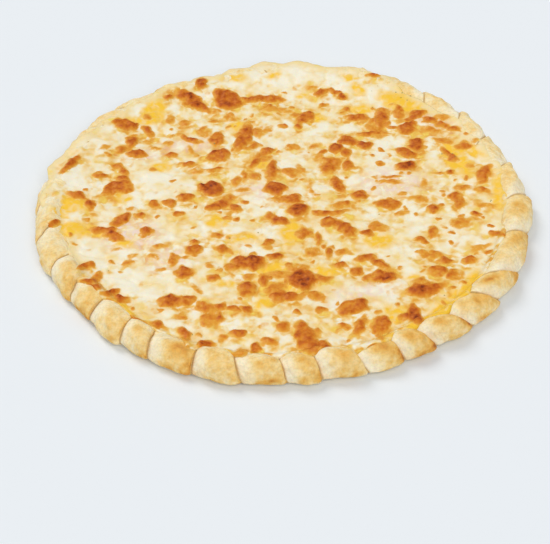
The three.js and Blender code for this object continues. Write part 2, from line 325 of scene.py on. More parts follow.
def crimpedRimTree(dough):
    tree = newTree("crimpedRim", crust)
    add = partial(addNode, tree)
    size = add("NodeGroupInput").outputs

    # a sheet with a column for each step round the rim and a ring for each step of its section
    folds = add("AttributeDomainSize", size["Geometry"]).outputs["Point Count"]
    columns = add("Math", folds, size["Columns per fold"], 1, operation="MULTIPLY_ADD")
    rings = add("Math", size["Rings per quarter"], 4, 2, operation="MULTIPLY_ADD")
    sheet = add("MeshGrid", Vertices_X=columns, Vertices_Y=rings)
    index = add("InputIndex")
    passed = add("Math", index, rings, operation="DIVIDE")
    column = add("Math", passed, operation="FLOOR")
    ring = add("Math", index, rings, operation="MODULO")

    # turn: 0 foot of the inner wall, 1 crest, 2 bulge, 3 toe, 4 middle of the underside, below 0 the floor
    ringFromFoot = add("Math", ring, 1, operation="SUBTRACT")
    turn = add("Math", ringFromFoot, size["Rings per quarter"], operation="DIVIDE")

    # step: 0 in the groove where a fold starts, 1 in the next
    place = add("Math", column, size["Columns per fold"], operation="DIVIDE")
    wholeFolds = add("Math", place, operation="FLOOR")
    fold = add("Math", wholeFolds, folds, operation="MODULO")
    share = add("Math", place, operation="FRACT")
    around = add("Math", share, 2 * math.pi, operation="MULTIPLY")
    swing = add("Math", around, operation="SINE")
    step = add("Math", swing, size["Crowding"], share, operation="MULTIPLY_ADD")
    own = {}
    directions = ("startDeg", "widthDeg", "startLean", "endLean")
    heights = ("startDepth", "endDepth", "taller", "further", "notchFrom")
    for name in directions + heights + ("tone", "heat", "drift"):
        trait = add("InputNamedAttribute", name)
        own[name] = add("SampleIndex", size["Geometry"], trait, fold)

    # a fold swells slowly from its groove, and drops steeply where it laps over the next
    left = add("Math", 1, step, operation="SUBTRACT")
    unswollen = add("Math", left, size["Swell power"], operation="POWER")
    swell = add("Math", 1, unswollen, operation="SUBTRACT")
    fallen = add("Math", step, size["Fall power"], operation="POWER")
    standing = add("Math", 1, fallen, operation="SUBTRACT")
    lapping = add("Math", swell, standing, operation="MULTIPLY")
    lappingHollow = add("Math", 1, lapping, operation="SUBTRACT")

    # towards the cheese it ends as a rounded arch instead
    fromMiddle = add("Math", step, 2, -1, operation="MULTIPLY_ADD")
    offMiddle = add("Math", fromMiddle, operation="ABSOLUTE")
    archHollow = add("Math", offMiddle, size["Arch power"], operation="POWER")
    archShare = add("MapRange", turn, 0.6, 1.35, 1, 0, **smooth)
    hollow = add("Mix", archShare, lappingHollow, archHollow)
    fullness = add("Math", 1, hollow, operation="SUBTRACT")

    # where on the section the folds press into the top and into the side
    notchTo = add("Math", own["notchFrom"], 0.6, operation="ADD")
    onTop = riseAndFall(add, turn, (own["notchFrom"], notchTo), (1.5, 2.3))
    onSide = riseAndFall(add, turn, (0.6, 1.6), (2, 3), left=0.65)

    # direction: grooves lean back towards the foot, and a fold's end is pushed over the next fold
    leanHere = add("MapRange", step, 0, 1, own["startLean"], own["endLean"])
    leanShare = add("MapRange", turn, 0, 2, 1, 0)
    leaning = add("Math", leanHere, leanShare, operation="MULTIPLY")
    upright = add("Math", step, own["widthDeg"], own["startDeg"], operation="MULTIPLY_ADD")
    leant = add("Math", upright, leaning, operation="SUBTRACT")
    lapShape = riseAndFall(add, step, (0.45, 0.9), (0.93, 1))
    lapHere = add("Math", lapShape, onTop, operation="MULTIPLY")
    lapAngle = add("Math", size["Overlap"], size["Rim radius"], operation="DIVIDE")
    lapDeg = add("Math", lapAngle, operation="DEGREES")
    deg = add("Math", lapHere, lapDeg, leant, operation="MULTIPLY_ADD")

    # the outline isn't quite round
    outerRadius = size["Rim radius"]
    for swellDeg, out, spread in outlineSwells:
        away = add("Math", deg, swellDeg, operation="SUBTRACT")
        wrapped = add("Math", away, 180, -180, operation="WRAP")
        scaled = add("Math", wrapped, spread, operation="DIVIDE")
        squared = add("Math", scaled, 2, operation="POWER")
        negated = add("Math", squared, -1, operation="MULTIPLY")
        swellShare = add("Math", negated, operation="EXPONENT")
        outerRadius = add("Math", swellShare, out, outerRadius, operation="MULTIPLY_ADD")

    # the section itself: three quarter turns, each with its own width and height
    sines = []
    cosines = []
    for start in (0, 1, 2):
        quarter = add("MapRange", turn, start, start + 1, 0, math.pi / 2)
        sines.append(add("Math", quarter, operation="SINE"))
        cosines.append(add("Math", quarter, operation="COSINE"))
    halfWidth = add("Math", size["Rim width"], 0.5, operation="MULTIPLY")
    middle = add("Math", outerRadius, halfWidth, operation="SUBTRACT")
    inwards = add("Math", cosines[0], halfWidth, operation="MULTIPLY")
    inner = add("Math", middle, inwards, operation="SUBTRACT")
    overCrest = add("Math", sines[1], halfWidth, inner, operation="MULTIPLY_ADD")
    curl = add("Math", 1, cosines[2], operation="SUBTRACT")
    curled = add("Math", curl, size["Toe"], operation="MULTIPLY")
    sectionRadius = add("Math", overCrest, curled, operation="SUBTRACT")
    wallHeight = add("Math", size["Rim height"], size["Floor height"], operation="SUBTRACT")
    climbed = add("Math", sines[0], wallHeight, size["Floor height"], operation="MULTIPLY_ADD")
    sideHeight = add("Math", size["Rim height"], size["Bulge height"], operation="SUBTRACT")
    dropped = add("Math", 1, cosines[1], operation="SUBTRACT")
    down = add("Math", dropped, sideHeight, operation="MULTIPLY")
    overSide = add("Math", climbed, down, operation="SUBTRACT")
    tucked = add("Math", sines[2], size["Bulge height"], operation="MULTIPLY")
    sectionHeight = add("Math", overSide, tucked, operation="SUBTRACT")

    # the fold pressed in
    depthHere = add("MapRange", step, 0, 1, own["startDepth"], own["endDepth"])
    hollowHere = add("Math", hollow, depthHere, operation="MULTIPLY")
    pressed = add("Math", hollowHere, size["Groove depth"], operation="MULTIPLY")
    stands = add("Math", own["taller"], fullness, operation="MULTIPLY")
    sunk = add("Math", pressed, stands, operation="SUBTRACT")
    sunkHere = add("Math", sunk, onTop, operation="MULTIPLY")
    height = add("Math", sectionHeight, sunkHere, operation="SUBTRACT")
    bitten = add("Math", hollowHere, size["Groove bite"], operation="MULTIPLY")
    reaches = add("Math", own["further"], fullness, operation="MULTIPLY")
    drawn = add("Math", bitten, reaches, operation="SUBTRACT")
    drawnHere = add("Math", drawn, onSide, operation="MULTIPLY")
    radius = add("Math", sectionRadius, drawnHere, operation="SUBTRACT")

    # lumps and dimples of the dough, none where it lies flat
    heading = add("Math", deg, operation="RADIANS")
    cosine = add("Math", heading, operation="COSINE")
    sine = add("Math", heading, operation="SINE")
    roughX = add("Math", radius, cosine, operation="MULTIPLY")
    roughY = add("Math", radius, sine, operation="MULTIPLY")
    spot = add("CombineXYZ", roughX, roughY, height)
    for label, wave, detail in (("Lumps", 12, 1), ("Dimples", 4.5, 2)):
        noise = add("TexNoise", spot, Scale=1 / wave, Detail=detail)
        bothWays = add("Math", noise, 2, -1, operation="MULTIPLY_ADD")
        puff = add("Math", bothWays, size[label], operation="MULTIPLY")
        height = add("Math", puff, onTop, height, operation="MULTIPLY_ADD")
        radius = add("Math", puff, onSide, radius, operation="MULTIPLY_ADD")

    # the floor and the underside close to a middle point, and steam lifted the underside here and there
    baseClosed = add("MapRange", turn, 3, 4, 1, 0)
    floorClosed = add("MapRange", turn, -0.01, 0, 0, 1)
    closing = add("Math", baseClosed, floorClosed, operation="MULTIPLY")
    flatRadius = add("Math", radius, closing, operation="MULTIPLY")
    x = add("Math", flatRadius, cosine, operation="MULTIPLY")
    y = add("Math", flatRadius, sine, operation="MULTIPLY")
    steam = add("TexNoise", add("CombineXYZ", x, y, 0), Scale=1 / 24, Detail=1)
    lifted = add("MapRange", steam, 0.52, 0.7, 0, size["Steam lift"])
    underneath = add("MapRange", turn, 3.05, 3.3, 0, 1)
    height = add("Math", lifted, underneath, height, operation="MULTIPLY_ADD")
    inMm = add("CombineXYZ", x, y, height)
    position = add("VectorMath", inMm, operation="SCALE", Scale=mm)

    shape = sheet
    painted = {
        "rimTurn": turn, "foldStep": step, "foldFullness": fullness,
        "foldTone": own["tone"], "foldHeat": own["heat"], "foldDrift": own["drift"],
    }
    for name, value in painted.items():
        shape = add("StoreNamedAttribute", shape, None, name, value)
    shape = add("SetPosition", shape, Position=position)
    shape = add("MergeByDistance", shape, Distance=0.01 * mm)
    shape = add("FlipFaces", shape)
    shape = add("SetShadeSmooth", shape, Shade_Smooth=True)
    shape = add("RealizeInstances", shape)
    shape = add("SetMaterial", shape, Material=dough)
    add("NodeGroupOutput", shape)
    return tree


# Wheat dough, baked: dry and matt, cream where flour and folds shielded it, a golden blush where it stood
# up to the heat, and brown freckles underneath from the pan
doughLook = {
    "crumbSize": 1.5,
    "wrinkleSize": 4.0,
    "blushSize": 15,
    "freckleSize": 14,
    "blush": (0.12, 0.55),  # on the palest fold and on the most toasted one
    "patches": (-0.08, 0.26),
    "mottling": (-0.17, 0.19),
    "centre": (0.06, 0.38),
    "band": 0.42,
    "tip": 0.45,
    "flouring": 0.9,
    "grooveShade": 0.85,
    "topRamp": [
        (0.0, "FAE7B8"), (0.2, "F8DA9A"), (0.4, "F2C877"), (0.6, "E9B154"), (0.8, "D48C38"), (1.0, "A25D28"),
    ],
    "flour": "FCF0D2",
    # painted shade for the grooves between the folds
    "groove": "C99E56",
    # poreShade sets the painted shade in the pores
    "poreShade": 0.89,  # how dark a pore is
    "underRamp": [(0.0, "EBD3A2"), (0.45, "DDB878"), (0.6, "B98345"), (0.75, "8A5527"), (1.0, "6B3D1B")],
    "surface": {
        "Roughness": 0.68, "IOR": 1.45, "Specular IOR Level": 0.25, "Subsurface Weight": 0.12,
        "Subsurface Radius": (1.0, 0.6, 0.25), "Subsurface Scale": 3 * mm,
    },
}


def bakedWheatDough():
    look = doughLook
    material, tree, shader = newMaterial("bakedWheatDough", look["surface"])
    add = partial(addNode, tree)
    where = add("TexCoord").outputs["Object"]
    names = ("rimTurn", "foldStep", "foldTone", "foldHeat", "foldDrift", "foldFullness")
    painted = [add("Attribute", attribute_name=name).outputs["Fac"] for name in names]
    turn, step, tone, sideHeat, drift, fullness = painted

    # the blush grows along a fold to its lapping end, on the crest and the upper side
    along = add("MapRange", step, 0.1, 0.95, 0, 1, **smooth)
    heat = riseAndFall(add, turn, (0.35, 1.1), (1.5, 2.4), left=0.25)
    strength = add("MapRange", tone, 0, 1, *look["blush"])
    blush = add("Math", along, strength, operation="MULTIPLY")
    blushHere = add("Math", blush, heat, operation="MULTIPLY")

    # cloudy patches over whole folds, and small spots between them
    patches = add("TexNoise", where, Scale=perMm(look["blushSize"]), Detail=2, Roughness=0.6)
    patchy = add("MapRange", patches, 0.35, 0.75, *look["patches"])
    patchHere = add("Math", patchy, fullness, operation="MULTIPLY")
    mottle = add("TexNoise", where, Scale=perMm(look["wrinkleSize"]), Detail=3)
    mottled = add("MapRange", mottle, 0.3, 0.7, *look["mottling"])

    # a patch near where the fold stands highest, uneven in shape and strength from fold to fold
    drifted = add("Math", drift, 0.1, step, operation="MULTIPLY_ADD")
    offStep = add("MapRange", drifted, 0.27, 0.83, -1, 1, clamp=False)
    offTurn = add("MapRange", turn, 0.58, 1.5, -1, 1, clamp=False)
    offBoth = add("CombineXYZ", offStep, offTurn, 0)
    offCentre = add("VectorMath", offBoth, operation="LENGTH").outputs["Value"]
    unevenEdge = add("MapRange", mottle, 0.3, 0.7, -0.3, 0.3)
    ragged = add("Math", unevenEdge, offCentre)
    centre = add("MapRange", ragged, 0.1, 1.1, 1, 0, **smooth)
    centreStrength = add("MapRange", tone, 0.05, 0.8, *look["centre"])
    centreCloud = add("MapRange", patches, 0.35, 0.6, 0.3, 1)
    centred = add("Math", centre, centreStrength, operation="MULTIPLY")
    centred = add("Math", centred, centreCloud, operation="MULTIPLY")

    # a band low on the outer side, mostly in front
    band = riseAndFall(add, turn, (1.6, 2.0), (2.15, 2.6), left=0.4, peak=look["band"])
    bandFront = add("MapRange", sideHeat, 0, 0.6, 0.25, 1)
    bandCloud = add("MapRange", patches, 0.4, 0.6, 0.1, 1)
    banded = add("Math", band, bandFront, operation="MULTIPLY")
    banded = add("Math", banded, bandCloud, operation="MULTIPLY")

    # the tip that laps over the next fold is browned most
    tipStep = add("MapRange", step, 0.72, 0.95, 0, 1, **smooth)
    tipTurn = riseAndFall(add, turn, (1.1, 1.7), (1.9, 2.4))
    tip = add("Math", tipStep, tipTurn, operation="MULTIPLY")
    tipTone = add("MapRange", tone, 0.45, 0.9, 0, look["tip"])

    toast = blushHere
    for part in (patchHere, mottled, centred, banded):
        toast = add("Math", toast, part, operation="ADD")
    toast = add("Math", tip, tipTone, toast, operation="MULTIPLY_ADD")
    toasted = fillRamp(add("ValToRGB", toast), look["topRamp"])

    # flour stays white where the fold before it lay over the dough
    shielded = add("MapRange", step, 0.1, 0.42, look["flouring"], 0, **smooth)
    flourTurn = riseAndFall(add, turn, (0.5, 1.0), (2.1, 2.6), left=0.3)
    flourCloud = add("MapRange", patches, 0.35, 0.65, 1, 0.4)
    floured = add("Math", shielded, flourTurn, operation="MULTIPLY")
    floured = add("Math", floured, flourCloud, operation="MULTIPLY")
    whitened = add("Mix", floured, toasted, linear(look["flour"]), data_type="RGBA")
    # painted shade: the colour darkens in the grooves between the folds
    inGroove = add("MapRange", fullness, 0.02, 0.24, look["grooveShade"], 0, **smooth)
    topColour = add("Mix", inGroove, whitened, linear(look["groove"]), data_type="RGBA")

    freckles = add("TexNoise", where, Scale=perMm(look["freckleSize"]), Detail=4, Roughness=0.65)
    freckleShare = add("MapRange", freckles, 0.3, 0.75, 0, 1)
    underColour = fillRamp(add("ValToRGB", freckleShare), look["underRamp"])
    under = add("MapRange", turn, 2.5, 3.0, 0, 1, **smooth)
    colour = add("Mix", under, topColour, underColour, data_type="RGBA")

    # pores and wrinkles of the skin, with painted shade where the pores sink
    crumb = add("TexNoise", where, Scale=perMm(look["crumbSize"]), Detail=2)
    paintedPoreShade = add("MapRange", crumb, 0.3, 0.6, look["poreShade"], 1.02)
    shaded = add("HueSaturation", Value=paintedPoreShade, Color=colour)
    tree.links.new(shaded.outputs[0], shader.inputs["Base Color"])
    wrinkled = add("Bump", Strength=0.7, Distance=2 * mm, Height=mottle)
    grainy = add("Bump", Strength=0.6, Distance=0.2 * mm, Height=crumb, Normal=wrinkled)
    tree.links.new(grainy.outputs[0], shader.inputs["Normal"])
    return material


def makeCrust():
    dough = bakedWheatDough()
    piece = makeWith(crimpedRimTree(dough), "crimped_crust", foldGuide(), crust)
    points = pointsOf(piece.data)
    low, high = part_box("crust")
    middle = (points.min(0) + points.max(0)) / 2  # the dressed rim is set over the middle of the plain one
    shiftX = (low.x + high.x) / 2 - middle[0]
    shiftY = (low.y + high.y) / 2 - middle[1]
    shift = np.array([shiftX, shiftY, -points[:, 2].min()])
    piece.data.transform(Matrix.Translation(Vector(shift)))
    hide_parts("crust")
    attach(piece, "root")
    print("crust made:", len(piece.data.polygons), "faces, shifted", shift)
    return piece, shift


# Melted cheese. Marks are (x, y, length, width), and a turn where they lie aslant, as they would lie on a
# level sheet seen from the front.
cheese = {
    "cells": 300,
    "level": 9.2,
    "bottom": 5.35,
    "slowWaves": 0.45,
    "film": 1.1,  # thickness where it lies on the rim
    "roundEdge": 2.4,
    "meeting": 1.6,  # how softly the level sheet turns up the rim's wall
    "closeFit": 2,  # in steps round the rim: how closely it follows the folds
    "bridgedFit": 9,  # and how closely at the back, where it bridges the grooves
    "bankStart": 104.0,  # the cheese banks up towards the rim, more at the back than in front
    "bankEnd": 138.0,
    "bankFront": 0.5,
    "bankBack": 4.2,
    "bankTurn": 10.0,
    "blisterHeight": 1.5,
    "seamDepth": 0.55,
    "tuck": 0.6,  # how deep the edge sits in the dough
    "viewSlope": 1.125,  # how far a mark moves back for each millimetre that its place is raised
    "fringe": 0.8,
    "grooveRun": 1.8,  # how much further the cheese ran in the grooves than on the folds
    "grooveShare": 0.6,  # how much of a groove's lean lies outside the cheese's edge
    "blendedSide": 102,  # where the cheese ran out thin over the dough, and how far round to each side of it
    "blendedSpread": 122,
}
tint = {  # how strongly the marks colour the sheet
    "brown": (0.78, 0.63, 0.4),  # scorched, browned and golden ones
    "specks": [(150, 1.8, 3.4, 0.46), (170, 2.4, 5.0, 0.15)],  # how many, smallest, largest, how brown
    "speckReach": 130,
    "seed": 5,
    "farSide": 0.22,  # how much browner a blister's far side is than its near side
    "halo": 0.65,  # warm colour about the blisters
    "haloWidth": 9,
    "closeHalo": 0.5,
    "closeWidth": 3.0,
    "seam": 0.25,  # warm colour where lumps ran together
    "milky": 0.7,  # how much of it the milky areas lose
    "warmArea": 0.5,
    "nearRim": 0.9,
}
scorched = [  # with dark tops
    (-58, 107, 32, 11, -50), (-35, 108, 24, 16, -55), (49, 86, 15, 8), (58, 68, 16, 4, -3),
    (86, 56, 12, 10, 90), (78, 34, 13, 8, 15), (68, 23, 8, 2), (-44, 13, 15, 13), (-4, 13, 14, 12),
    (-132, 41, 18, 6, 60), (-139, -17, 8, 5, 55), (-20, -56, 20, 12), (9, -8, 11, 10),
    (26, -49, 9, 4, 80), (57, -70, 16, 9, -5), (11, -72, 18, 15, -50), (72, -102, 15, 9, 90),
    (80, -82, 22, 10, 15), (93, -57, 9, 7), (120, -50, 3, 3), (34, 53, 9, 9, 45), (43, 60, 12, 9),
    (53, 56, 10, 9, -40),
]
browned = [
    (-13, 108, 26, 7), (-52, 126, 11, 7, 90), (-73, 111, 7, 5), (-101, 81, 17, 11, -50),
    (-86, 74, 11, 6, -60), (-96, 63, 14, 7, 80), (-102, 55, 6, 5), (-92, 50, 11, 7), (-70, 49, 8, 4),
    (-59, 65, 15, 4, -32), (-110, 50, 4, 3), (-42, 65, 14, 9, 90), (-40, 47, 14, 13),
    (-24, 65, 26, 9, 75), (-17, 40, 10, 4, 60), (-9, 51, 9, 4, 20), (-6, 30, 20, 6, 80),
    (-102, 15, 20, 12, 25), (-99, 24, 12, 6, -45), (-101, 35, 14, 4, -60), (-114, 29, 6, 5),
    (-117, 1, 11, 7, 90), (-59, 39, 7, 4), (-42, 33, 9, 4), (-60, 6, 8, 7), (-69, 1, 7, 6),
    (16, 86, 14, 10, 60), (11, 77, 6, 4, 50), (43, 95, 6, 4, 90), (65, 81, 13, 9, 90), (72, 75, 7, 3),
    (76, 91, 11, 4, 90), (27, 113, 8, 4, 45), (35, 115, 9, 5, -15), (41, 110, 5, 4, -60), (28, 100, 5, 4),
    (25, 47, 8, 4, 60), (41, 47, 8, 5, 90), (30, 35, 16, 8, 65), (42, 36, 10, 6, 90),
    (34, 17, 15, 7, -70), (46, 6, 12, 7, -10), (87, 86, 14, 8, 40), (97, 81, 8, 5, -30),
    (104, 76, 8, 5, -30), (111, 71, 7, 5, -35), (82, 73, 15, 9, 35), (79, 47, 13, 8, -45),
    (125, 24, 16, 7, 70), (122, 8, 6, 5), (106, 3, 8, 5), (63, 132, 8, 6), (105, 44, 12, 4, -60),
    (104, 26, 5, 4), (-98, -15, 15, 9, 50), (-108, -24, 14, 4, -10), (-125, 9, 14, 4, -25),
    (-102, -29, 14, 4, -40), (-82, -26, 8, 8), (-86, -10, 5, 5), (-79, -1, 6, 6), (-63, -10, 6, 6),
    (-43, -3, 9, 6, 35), (-36, -1, 8, 6), (-29, -6, 9, 6, -40), (-3, -18, 10, 7), (-53, -36, 6, 6),
    (-53, -44, 10, 9), (-36, -44, 8, 6), (-41, -69, 6, 6), (-65, -54, 8, 6, 90), (-58, -63, 9, 9),
    (-30, -60, 7, 6), (-6, -51, 8, 6), (-9, -38, 5, 5), (-12, -71, 9, 6, 90), (-22, -79, 13, 8, 90),
    (-64, -88, 15, 8), (-55, -87, 8, 8), (-38, -103, 10, 4, 90), (-36, -93, 7, 6), (-29, -96, 6, 6),
    (-22, -95, 5, 5), (-3, -86, 10, 8), (-116, -57, 9, 6), (-112, -69, 10, 5), (-110, -75, 8, 8),
    (-100, -80, 9, 6), (-93, -85, 8, 5), (-57, -115, 10, 6, -60), (-72, -107, 8, 3, -40),
    (-83, -103, 8, 3, -25), (-27, -115, 9, 7), (-44, -123, 7, 5), (-17, -127, 5, 5), (-8, -122, 10, 7),
    (7, 2, 10, 10), (28, -11, 16, 5, 5), (28, -20, 11, 9), (38, -27, 16, 9, -60), (12, -30, 9, 8),
    (20, -36, 10, 4, 90), (50, -31, 5, 5), (47, -53, 10, 6), (56, -60, 12, 5, -35), (41, -64, 7, 6),
    (32, -60, 8, 5), (21, -70, 10, 5, -20), (3, -86, 14, 7), (38, -95, 17, 11, 30), (20, -97, 6, 4),
    (41, -112, 15, 6, 65), (53, -110, 13, 10, 90), (31, -110, 7, 5), (66, -104, 6, 6), (89, -66, 10, 8),
    (89, -31, 9, 5, 90), (81, -39, 7, 5), (91, -9, 7, 6), (107, -1, 13, 7, 90), (116, -15, 6, 4),
    (64, -3, 12, 9), (127, -34, 7, 4), (11, -120, 26, 12, -75), (20, -125, 8, 6), (48, -129, 7, 5),
    (108, -57, 8, 4),
]
golden = [  # barely browned
    (-72, 87, 8, 5, 90), (-58, 53, 9, 4, -70), (-80, 57, 5, 4), (-72, 62, 5, 4), (-86, 64, 4, 4),
    (-112, 59, 5, 4), (-33, 89, 9, 6, 90), (-43, 85, 7, 4), (-10, 74, 10, 6, 40), (-17, 27, 8, 8),
    (-23, 27, 10, 4, 90), (-33, 5, 8, 8), (-53, 33, 8, 5), (21, 121, 5, 4), (115, 54, 10, 8),
    (122, 59, 4, 3), (118, 66, 4, 4), (98, 27, 5, 3), (117, 33, 5, 4), (88, 16, 7, 4, 90), (5, 30, 14, 8),
    (12, 33, 8, 3, -60), (17, 14, 10, 3, -80), (6, 56, 9, 5), (21, 57, 6, 5), (-92, -4, 5, 3),
    (-33, -14, 5, 4), (-8, -13, 6, 5), (-43, -55, 4, 4), (-38, -61, 4, 4), (-45, -93, 14, 8, -20),
    (-42, -103, 14, 12), (-59, -100, 8, 5), (-107, -64, 6, 6), (-35, -118, 6, 5), (-26, -130, 8, 7),
    (-99, -41, 4, 2), (-88, -47, 5, 5), (-90, -53, 8, 4), (-71, -60, 4, 3), (-51, -76, 7, 3, -45),
    (17, -47, 8, 7), (57, -25, 12, 8, -20), (48, -70, 8, 7), (106, -22, 10, 8), (72, -12, 7, 5),
    (140, -15, 4, 3), (-87, 91, 6, 4, 90), (30, 36, 18, 12, 65), (16, -84, 14, 8, -20),
    (-6, -77, 12, 9, 20), (0, -66, 16, 6, -10), (62, 79, 18, 12, 80), (-20, 58, 12, 9, -10),
    (-14, 72, 8, 10), (-12, 46, 14, 10, 10), (66, 19, 12, 4), (84, 1, 9, 4), (-73, -39, 9, 4),
    (-77, -48, 6, 4), (-64, -50, 7, 5), (98, 71, 16, 4, -10), (103, 60, 13, 7, -20), (-4, 97, 18, 6, -10),
    (10, 91, 9, 5), (-29, 22, 10, 6, 80), (-24, 13, 8, 5), (99, -69, 11, 9, 30), (86, -50, 12, 5),
    (-40, -29, 8, 5), (111, 12, 10, 5), (34, -47, 7, 6), (-62, 84, 8, 7), (116, -44, 10, 4, 20),
    (124, -5, 11, 5), (8, -60, 12, 7), (-1, 4, 12, 7), (78, -75, 9, 8), (67, 91, 9, 12), (36, -3, 9, 6),
    (-2, -109, 7, 7), (104, 84, 8, 5), (-21, -66, 7, 6), (-50, 73, 7, 9), (-42, 97, 7, 5),
    (-25, -127, 6, 4),
]
yellowPools = [  # of the yellow cheese
    (-75, 37, 12, 8), (-96, 6, 8, 6), (-83, 95, 24, 12, 80), (-93, 86, 14, 8), (-29, 79, 9, 8),
    (-30, 132, 12, 6), (-5, 135, 8, 5), (78, 102, 30, 15, -40), (83, 118, 8, 8), (110, 41, 32, 13, -75),
    (55, 95, 15, 9), (24, 86, 8, 5), (47, 130, 8, 6), (133, 8, 30, 9, 80), (14, 111, 6, 5),
    (-95, -36, 8, 5), (-23, -32, 14, 7), (-40, -17, 12, 10), (-88, -98, 16, 4, -50), (57, -37, 16, 12),
    (4, -28, 22, 11, 90), (61, -101, 12, 10, 90), (73, -70, 5, 3), (62, -119, 18, 5, 28),
    (78, -107, 26, 7, 35), (90, -98, 24, 10, 44), (100, -87, 22, 9, 50), (109, -73, 14, 7, 60),
    (-8, -63, 20, 9, 30), (-2, -77, 16, 9), (-12, -90, 10, 6, 20), (24, -63, 14, 6), (-34, -73, 9, 5),
    (54, -127, 10, 6, 20), (-129, -22, 22, 12, -5), (-116, -24, 20, 7, -8), (-127, 2, 15, 9, -30),
    (52, 118, 7, 12), (-132, -4, 12, 12), (121, 48, 12, 7, -60), (-13, 38, 10, 6),
]
thinAreas = [  # where a faint lilac shows through
    (-92, -28, 34, 26), (-66, -52, 26, 18, 20), (68, 18, 38, 26), (-60, 60, 26, 12, 10),
    (100, 78, 22, 8, -35), (-10, 10, 30, 16, -20), (44, -84, 30, 10, 20), (-86, 50, 18, 10),
]
warmAreas = [  # cream coloured from the heat between the blisters
    (76, 6, 42, 24), (-73, -46, 26, 22), (99, 65, 28, 22), (2, 92, 26, 22), (-29, 18, 22, 18),
    (94, -58, 24, 20), (-40, -32, 24, 20), (111, 12, 16, 12), (34, -51, 12, 22), (-62, 81, 12, 18),
    (-13, 126, 9, 14), (-56, -24, 10, 19), (-15, -105, 12, 18), (-86, 54, 12, 9),
]
milkyAreas = [  # where it stayed white
    (-103, -45, 22, 34), (-47, -115, 26, 18), (14, 38, 20, 22), (20, -87, 26, 20), (-72, -96, 14, 28),
    (-44, -75, 13, 24), (96, -22, 13, 20), (67, -15, 9, 17), (20, -16, 10, 17), (80, -38, 17, 11),
    (-42, -48, 12, 10), (-67, -14, 10, 11), (7, 68, 12, 8), (90, 27, 10, 7), (66, -34, 10, 13),
]
# how far out the cheese reaches in each direction: a lobe of it has run over the rim at the back
cheeseReach = [
    (0, 135.6), (15, 138.6), (21, 136.4), (30, 137), (41, 136), (46, 133), (50, 134.5), (55, 139.5),
    (60, 144), (65, 146), (76, 143.5), (90, 145.5), (97, 145), (102, 142), (107, 138.6), (116, 139.4),
    (125, 140.4), (130, 139), (134, 139), (142, 140), (147, 140), (156, 144), (160, 147), (164, 148),
    (168, 148), (173, 148), (179, 147), (184, 146), (187.5, 144.4), (191, 137.6), (196, 133.5),
    (202, 132.5), (208, 137), (213, 138.2), (218, 134.2), (223, 132), (228, 132), (233, 134), (238, 132.5),
    (243, 133), (247, 138.5), (251, 132.2), (256, 135.5), (260, 138), (264, 134.2), (272, 134),
    (277, 135.4), (281, 133.2), (286, 138.6), (290, 140), (296, 135), (303, 135.6), (310, 137.6),
    (316, 136), (321, 134.8), (327, 134.2), (332, 134), (337, 136), (342, 134.6), (351, 134.2),
]


# Depth of each place inside the nearest of the marks, as a share of full colour that fades over its edge
def markField(x, y, marks, fadeOut, fadeIn):
    field = np.zeros_like(x)
    for atX, atY, long, wide, *turned in marks:
        turn = math.radians(turned[0]) if turned else 0
        dx = x - atX
        dy = y - atY
        along = (dx * math.cos(turn) + dy * math.sin(turn)) / (long / 2)
        across = (dy * math.cos(turn) - dx * math.sin(turn)) / (wide / 2)
        depth = (1 - np.hypot(along, across)) * min(long, wide) / 2
        field = np.maximum(field, ease(-fadeOut, fadeIn, depth))
    return field


# How far out the cheese reaches in a direction: further in the grooves, and with a ragged fringe
def reachAt(deg):
    places, wanted = np.array(cheeseReach).T
    rimX = np.cos(np.radians(deg)) * 135
    rimY = np.sin(np.radians(deg)) * 135
    fringe = waves(rimX, rimY, 5.5, 3) * cheese["fringe"]
    starts = np.array(foldStarts + [foldStarts[0] + 360])
    starts = starts - cheese["grooveShare"] * leanAt(starts)
    alongFold = np.interp((deg - starts[0]) % 360 + starts[0], starts, np.arange(len(starts)))
    inGroove = np.cos(2 * math.pi * alongFold) * cheese["grooveRun"]
    return np.interp(deg % 360, places, wanted, period=360) + fringe + inGroove


# A round grid: squares bent into rings, so that all cells stay about the same size
def roundGrid(cells):
    line = np.linspace(-1, 1, cells + 1)
    u, v = np.meshgrid(line, line)
    wide = np.abs(u) >= np.abs(v)
    radius = np.where(wide, u, v)
    with np.errstate(divide="ignore", invalid="ignore"):
        turn = np.where(wide, math.pi / 4 * v / u, math.pi / 2 - math.pi / 4 * u / v)
    turn = np.nan_to_num(turn)
    return (radius * np.cos(turn)).ravel(), (radius * np.sin(turn)).ravel()


# Height of the dough's upper side, felt from above on a fine polar grid
def doughHeights(piece, shift):
    tree = BVHTree.FromObject(piece, bpy.context.evaluated_depsgraph_get())
    degrees = np.arange(0, 360, 0.4)
    radii = np.arange(118, 152, 0.5)
    heights = np.full((len(degrees), len(radii)), crust["Floor height"])
    down = Vector((0, 0, -1))
    for i, turn in enumerate(np.radians(degrees)):
        for k, radius in enumerate(radii * mm):
            above = Vector((radius * math.cos(turn) + shift[0], radius * math.sin(turn) + shift[1], 0.1))
            hit = tree.ray_cast(above, down)[0]
            if hit is not None:
                heights[i, k] = hit.z / mm
    return degrees, radii, heights


# Heights blurred along the rim, over so many steps of the polar grid
def smoothRound(heights, reach):
    steps = np.arange(-3 * reach, 3 * reach + 1)
    shares = np.exp(-(steps / reach) ** 2)
    shares /= shares.sum()
    return sum(np.roll(heights, step, axis=0) * share for step, share in zip(steps, shares))


